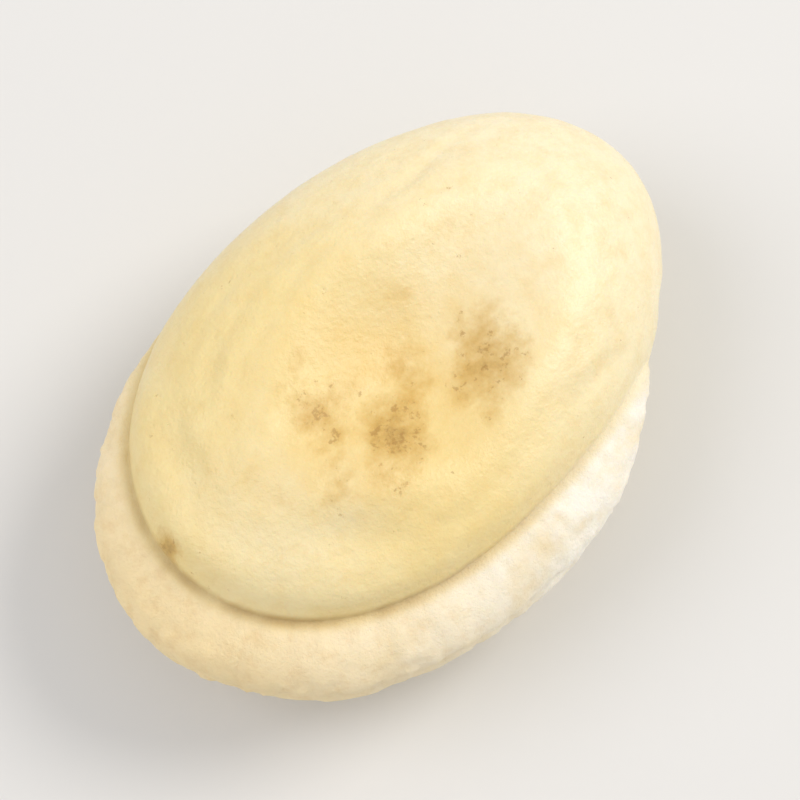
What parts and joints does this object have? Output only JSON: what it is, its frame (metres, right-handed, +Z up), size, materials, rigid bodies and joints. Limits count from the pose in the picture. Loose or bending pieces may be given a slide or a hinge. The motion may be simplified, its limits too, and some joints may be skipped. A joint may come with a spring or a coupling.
{
  "type": "hyacinth bean",
  "caption": "Dried, roasted hyacinth bean: a flattened egg-shaped seed with a pale raised crescent round its edge, lying on a broad face.",
  "frame": {"origin": "on the surface that the seed rests on, under the middle of its box", "axes": "+X along the seed, away from the end that the aril wraps round; +Y across it, away from the aril's long edge; +Z up through its thickness"},
  "size_m": [0.012, 0.0082, 0.0048],
  "materials": {
    "seed_coat": "satin"
  },
  "bodies": {
    "root": {"bean": "seed_coat"}
  },
  "joints": []
}
